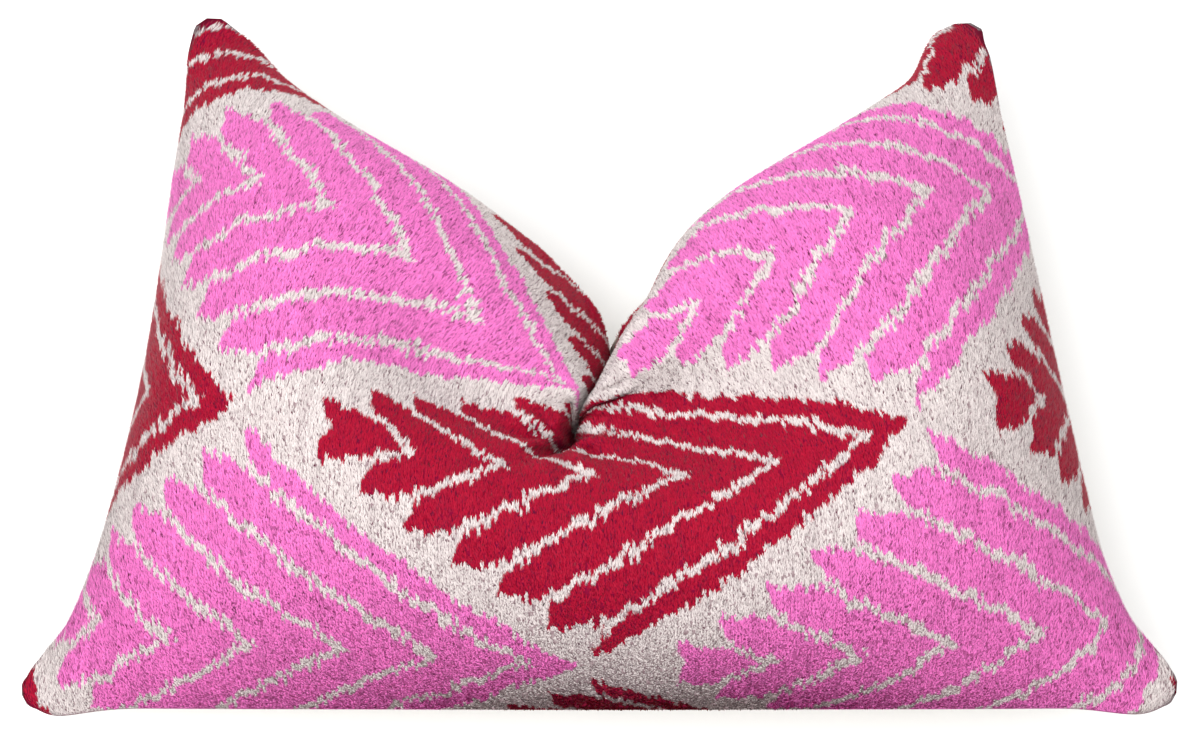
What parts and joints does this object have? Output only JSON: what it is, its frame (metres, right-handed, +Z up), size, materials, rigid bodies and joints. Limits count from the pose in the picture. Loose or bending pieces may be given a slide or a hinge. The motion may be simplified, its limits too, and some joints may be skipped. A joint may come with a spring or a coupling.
{
  "type": "lumbar pillow",
  "caption": "Oblong velvet lumbar pillow with an ikat face, plump and knife-edged, its long top edge pressed in to a sharp crease between raised ears.",
  "frame": {"origin": "on the surface under the pillow, below the middle of its box", "axes": "+X along the long side, +Y from the bottom edge to the ears, +Z up out of the face"},
  "size_m": [0.5784, 0.3804, 0.1715],
  "materials": {
    "velvet": "matte"
  },
  "bodies": {
    "root": {"pillow": "velvet"}
  },
  "joints": []
}
